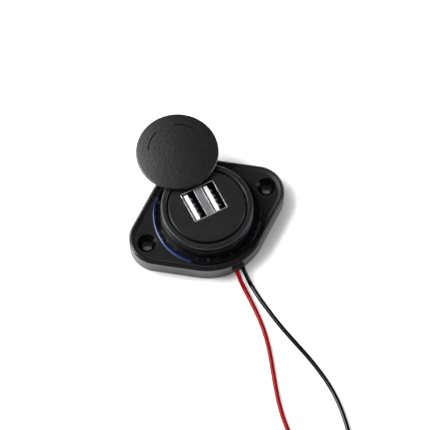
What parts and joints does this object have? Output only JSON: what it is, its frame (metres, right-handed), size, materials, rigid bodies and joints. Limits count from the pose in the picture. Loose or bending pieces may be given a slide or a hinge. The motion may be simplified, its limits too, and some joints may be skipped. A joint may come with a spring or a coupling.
{
  "type": "surface-mount dual USB power socket",
  "caption": "Surface-mount car power socket with two USB-A ports in a round face, a swivel dust cap, a light ring, two countersunk screw holes and two bare leads.",
  "frame": {"origin": "midway between the two mounting holes, in the plane of the back that lies on the panel", "axes": "+Z out of the panel through the face, X from screw hole to screw hole, -Y toward the leads, +Y toward the open cap"},
  "size_m": [0.0662, 0.1755, 0.0192],
  "materials": {
    "housing": "satin",
    "trim": "satin",
    "capskin": "fine matt grain",
    "lens": "gloss, translucent",
    "shell": "bright",
    "divider": "matt",
    "tongue": "matt",
    "contact": "bright",
    "board": "satin",
    "ferrite": "matt",
    "can": "satin",
    "chip": "matt",
    "lamp": "gloss",
    "screw": "zinc",
    "rubber": "matt",
    "red_jacket": "gloss",
    "black_jacket": "gloss",
    "tinned": "tinned copper"
  },
  "bodies": {
    "socket": {"base_housing": "housing", "bottom_cover": "housing", "cover_screws": "screw", "light_ring": "lens", "lamp_board": "board", "lamps": "lamp", "socket_body": "trim", "bezel_ring": "trim", "face_plate": "housing", "usb_shell": "shell", "port_divider": "divider", "usb_insulator": "tongue", "tongue_left": "tongue", "tongue_right": "tongue", "contacts_left": "contact", "contacts_right": "contact", "circuit_board": "board", "power_inductor": "ferrite", "input_capacitor": "can", "output_capacitor": "can", "converter_chip": "chip", "rectifier_diode": "chip", "lead_grommet": "rubber", "lead_red": "red_jacket", "lead_black": "black_jacket", "strand_red": "tinned", "strand_black": "tinned"},
    "swivel_cap": {"cap": "capskin", "cap_screw": "screw", "cap_washer": "screw"}
  },
  "joints": [
    {"name": "cap_swivel", "type": "hinge", "parent": "socket", "child": "swivel_cap", "pos_m": [0, 0.01285, 0.0146], "axis": [0, 0, 1], "range_deg": [-180, 180]}
  ]
}
